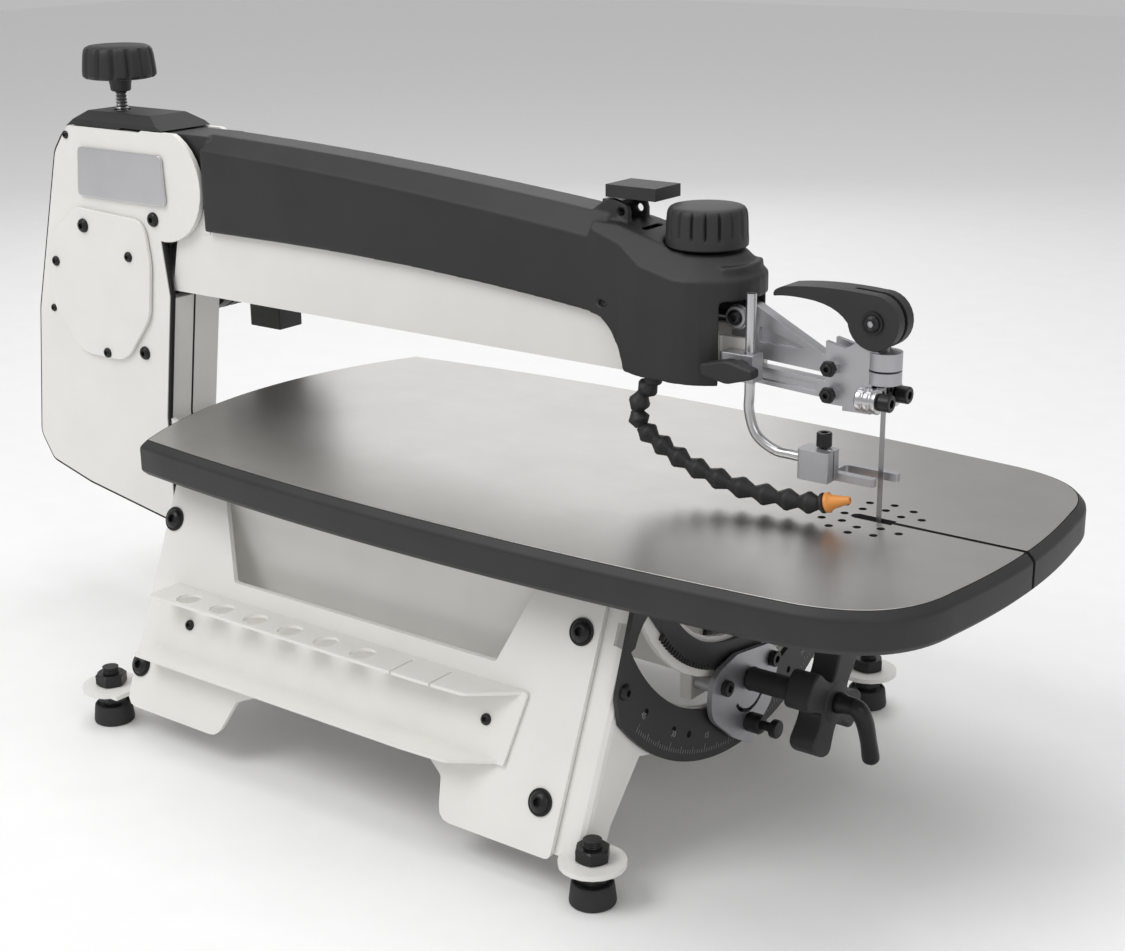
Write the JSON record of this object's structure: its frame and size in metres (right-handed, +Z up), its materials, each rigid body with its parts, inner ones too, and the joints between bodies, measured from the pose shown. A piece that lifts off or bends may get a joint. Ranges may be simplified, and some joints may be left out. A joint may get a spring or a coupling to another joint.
{
  "type": "scroll saw",
  "caption": "Benchtop parallel-link scroll saw: long upper arm over a fixed steel table, tilting saw frame with arc scale and star knob, splayed sheet-metal stand.",
  "frame": {"origin": "middle of the footprint, on the bench", "axes": "+X towards the operator along the arm, +Y towards the motor side, +Z up"},
  "size_m": [0.8042, 0.3546, 0.4284],
  "materials": {
    "white_paint": "satin powder coat",
    "black_moulding": "fine texture",
    "black_paint": "satin",
    "table_steel": "ground",
    "grey_casting": "as cast, satin",
    "bright_steel": "polished",
    "black_oxide": "black oxide",
    "blade_steel": "satin",
    "foot_rubber": "matt",
    "motor_housing": "black paint",
    "badge_metal": "satin",
    "orange_plastic": "moulded"
  },
  "bodies": {
    "stand": {"table_top": "table_steel", "table_rim": "black_moulding", "side_plate_left": "white_paint", "side_plate_right": "white_paint", "support_panel_left": "white_paint", "support_panel_right": "white_paint", "front_frame": "white_paint", "rear_frame": "white_paint", "trunnion_plate": "black_paint", "tool_tray": "white_paint"},
    "foot_front_left": {"levelling_foot_front_left": "foot_rubber"},
    "foot_front_right": {"levelling_foot_front_right": "foot_rubber"},
    "foot_rear_left": {"levelling_foot_rear_left": "foot_rubber"},
    "foot_rear_right": {"levelling_foot_rear_right": "foot_rubber"},
    "saw_frame": {"column_case_left": "white_paint", "column_case_right": "white_paint", "column_cover_plate": "white_paint", "column_cap": "black_moulding", "gear_cover": "white_paint", "badge_plate": "badge_metal", "lower_arm": "white_paint", "rear_guide_shoe": "grey_casting", "motor": "motor_housing", "power_inlet": "black_moulding", "trunnion_bracket": "grey_casting"},
    "drive_crank": {"motor_crank": "blade_steel"},
    "rear_knob": {"rear_tension_knob": "black_moulding"},
    "rocker": {"rear_rocker": "grey_casting"},
    "tilt_knob": {"tilt_knob_and_pinion": "black_moulding"},
    "lock_lever": {"tilt_lock_lever": "black_oxide"},
    "pointer_clamp": {"pointer_screw": "black_oxide"},
    "upper_arm": {"arm_beam": "white_paint", "arm_cover": "black_moulding", "rod_clamp": "grey_casting"},
    "dial": {"speed_dial": "black_moulding"},
    "toggle": {"power_toggle": "black_moulding"},
    "foot_rod": {"hold_down_rod": "bright_steel"},
    "wing_knob": {"hold_down_wing_knob": "black_moulding"},
    "work_foot": {"hold_down_foot": "grey_casting"},
    "work_foot_clamp": {"foot_clamp_screw": "black_oxide"},
    "bell_crank_top": {"upper_bell_crank": "grey_casting"},
    "link_top": {"upper_link": "grey_casting"},
    "holder_top": {"upper_blade_holder": "grey_casting", "upper_chuck": "bright_steel", "saw_blade": "blade_steel"},
    "clamp_screw_left": {"chuck_screw_left": "black_oxide"},
    "clamp_screw_right": {"chuck_screw_right": "black_oxide"},
    "cam_lever": {"tension_lever": "black_moulding"},
    "push_rod_top": {"upper_push_rod": "blade_steel"},
    "push_rod_low": {"lower_push_rod": "blade_steel"},
    "bell_crank_low": {"lower_bell_crank": "grey_casting"},
    "link_low": {"lower_link": "grey_casting"},
    "holder_low": {"lower_blade_holder": "grey_casting"},
    "clamp_screw_low": {"lower_chuck_screw": "black_moulding"},
    "hose_upper": {"air_hose_upper": "black_moulding"},
    "hose_lower": {"air_hose_lower": "black_moulding"},
    "nozzle": {"air_nozzle": "orange_plastic"}
  },
  "joints": [
    {"name": "level_front_left", "type": "slide", "parent": "stand", "child": "foot_front_left", "axis": [0, 0, -1], "range_m": [0, 0.008]},
    {"name": "level_front_right", "type": "slide", "parent": "stand", "child": "foot_front_right", "axis": [0, 0, -1], "range_m": [0, 0.008]},
    {"name": "level_rear_left", "type": "slide", "parent": "stand", "child": "foot_rear_left", "axis": [0, 0, -1], "range_m": [0, 0.008]},
    {"name": "level_rear_right", "type": "slide", "parent": "stand", "child": "foot_rear_right", "axis": [0, 0, -1], "range_m": [0, 0.008]},
    {"name": "tilt", "type": "hinge", "parent": "stand", "child": "saw_frame", "pos_m": [0.3094, 0, 0.1951], "axis": [1, 0, 0], "range_deg": [-45, 45], "deforming": ["air_hose_upper", "air_hose_lower", "air_nozzle"]},
    {"name": "tilt_knob_turn", "type": "hinge", "parent": "saw_frame", "child": "tilt_knob", "pos_m": [0.2494, 0, 0.0777], "axis": [1, 0, 0], "range_deg": [-430, 430]},
    {"name": "tilt_lock", "type": "hinge", "parent": "saw_frame", "child": "lock_lever", "pos_m": [0.2894, 0, 0.0777], "axis": [1, 0, 0], "range_deg": [0, 80]},
    {"name": "pointer_screw_turn", "type": "hinge", "parent": "saw_frame", "child": "pointer_clamp", "pos_m": [0.2344, 0, 0.049], "axis": [1, 0, 0], "range_deg": [-180, 180]},
    {"name": "rear_tension", "type": "hinge", "parent": "saw_frame", "child": "rear_knob", "pos_m": [-0.3046, 0, 0.41], "axis": [0, 0, 1], "range_deg": [-360, 360]},
    {"name": "motor_turn", "type": "hinge", "parent": "saw_frame", "child": "drive_crank", "pos_m": [-0.2726, 0.03, 0.28], "axis": [0, 1, 0], "continuous": true},
    {"name": "arm_lift", "type": "hinge", "parent": "saw_frame", "child": "upper_arm", "pos_m": [-0.2426, 0, 0.337], "axis": [0, -1, 0], "range_deg": [0, 8]},
    {"name": "speed", "type": "hinge", "parent": "upper_arm", "child": "dial", "pos_m": [0.1934, 0, 0.345], "axis": [0, 0, -1], "range_deg": [0, 300]},
    {"name": "power", "type": "hinge", "parent": "upper_arm", "child": "toggle", "pos_m": [0.1314, 0, 0.3566], "axis": [0, 1, 0], "range_deg": [-10, 10]},
    {"name": "foot_height", "type": "slide", "parent": "upper_arm", "child": "foot_rod", "axis": [0, 0, 1], "range_m": [-0.006, 0.0025]},
    {"name": "foot_knob_turn", "type": "hinge", "parent": "upper_arm", "child": "wing_knob", "pos_m": [0.2324, -0.03, 0.276], "axis": [0, 1, 0], "range_deg": [0, 180]},
    {"name": "foot_tip", "type": "hinge", "parent": "foot_rod", "child": "work_foot", "pos_m": [0.2694, -0.016, 0.229], "axis": [1, 0, 0], "range_deg": [-6, 6]},
    {"name": "foot_clamp_turn", "type": "hinge", "parent": "work_foot", "child": "work_foot_clamp", "pos_m": [0.2794, -0.011, 0.24], "axis": [0, 0, 1], "range_deg": [-180, 180]},
    {"name": "blade_drive", "type": "hinge", "parent": "upper_arm", "child": "bell_crank_top", "pos_m": [0.2214, 0, 0.284], "axis": [0, 1, 0], "range_deg": [-9.5, 9.5]},
    {"name": "link_top_turn", "type": "hinge", "parent": "upper_arm", "child": "link_top", "pos_m": [0.2214, 0, 0.269], "axis": [0, 1, 0], "range_deg": [-9.6, 9.6]},
    {"name": "holder_top_turn", "type": "hinge", "parent": "bell_crank_top", "child": "holder_top", "pos_m": [0.2814, 0, 0.281], "axis": [0, 1, 0], "range_deg": [-9.6, 9.6]},
    {"name": "push_top", "type": "slide", "parent": "upper_arm", "child": "push_rod_top", "axis": [1, 0, 0], "range_m": [-0.00301, 0.00301]},
    {"name": "rocker_turn", "type": "hinge", "parent": "saw_frame", "child": "rocker", "pos_m": [-0.2726, 0, 0.2178], "axis": [0, 1, 0], "range_deg": [-2.1, 2.1]},
    {"name": "push_low", "type": "slide", "parent": "saw_frame", "child": "push_rod_low", "axis": [1, 0, 0], "range_m": [-0.00405, 0.00405]},
    {"name": "crank_low_turn", "type": "hinge", "parent": "saw_frame", "child": "bell_crank_low", "pos_m": [0.1974, 0, 0.138], "axis": [0, 1, 0], "range_deg": [-6.9, 6.9]},
    {"name": "link_low_turn", "type": "hinge", "parent": "saw_frame", "child": "link_low", "pos_m": [0.1974, 0, 0.153], "axis": [0, 1, 0], "range_deg": [-6.9, 6.9]},
    {"name": "holder_low_turn", "type": "hinge", "parent": "bell_crank_low", "child": "holder_low", "pos_m": [0.2814, 0, 0.141], "axis": [0, 1, 0], "range_deg": [-6.9, 6.9]},
    {"name": "cam", "type": "hinge", "parent": "holder_top", "child": "cam_lever", "pos_m": [0.3054, 0, 0.309], "axis": [0, 1, 0], "range_deg": [0, 100]},
    {"name": "chuck_left_turn", "type": "hinge", "parent": "holder_top", "child": "clamp_screw_left", "pos_m": [0.3144, -0.0106, 0.2665], "axis": [1, 0, 0], "range_deg": [-180, 180]},
    {"name": "chuck_right_turn", "type": "hinge", "parent": "holder_top", "child": "clamp_screw_right", "pos_m": [0.3144, 0.0106, 0.2665], "axis": [1, 0, 0], "range_deg": [-180, 180]},
    {"name": "chuck_low_turn", "type": "hinge", "parent": "holder_low", "child": "clamp_screw_low", "pos_m": [0.3094, -0.01, 0.155], "axis": [0, 1, 0], "range_deg": [0, 180]},
    {"name": "hose_swivel", "type": "hinge", "parent": "upper_arm", "child": "hose_upper", "pos_m": [0.1734, -0.0245, 0.264], "axis": [0, 0, 1], "range_deg": [-6, 6]},
    {"name": "hose_elbow", "type": "hinge", "parent": "hose_upper", "child": "hose_lower", "pos_m": [0.1979, -0.025, 0.2148], "axis": [0, 0, 1], "range_deg": [-8, 8]},
    {"name": "nozzle_aim", "type": "hinge", "parent": "hose_lower", "child": "nozzle", "pos_m": [0.2824, -0.02, 0.2052], "axis": [0, 0, 1], "range_deg": [-15, 15]}
  ],
  "couplings": [
    {"joint": "tilt_knob_turn", "follows": "tilt", "ratio": 9.5},
    {"joint": "link_top_turn", "follows": "blade_drive", "ratio": 1},
    {"joint": "holder_top_turn", "follows": "blade_drive", "ratio": -1},
    {"joint": "push_top", "follows": "blade_drive", "m_per_rad": 0.018},
    {"joint": "rocker_turn", "follows": "blade_drive", "ratio": 0.21378},
    {"joint": "push_low", "follows": "blade_drive", "m_per_rad": -0.024328},
    {"joint": "crank_low_turn", "follows": "blade_drive", "ratio": 0.71429},
    {"joint": "link_low_turn", "follows": "blade_drive", "ratio": 0.71429},
    {"joint": "holder_low_turn", "follows": "blade_drive", "ratio": -0.71429}
  ]
}
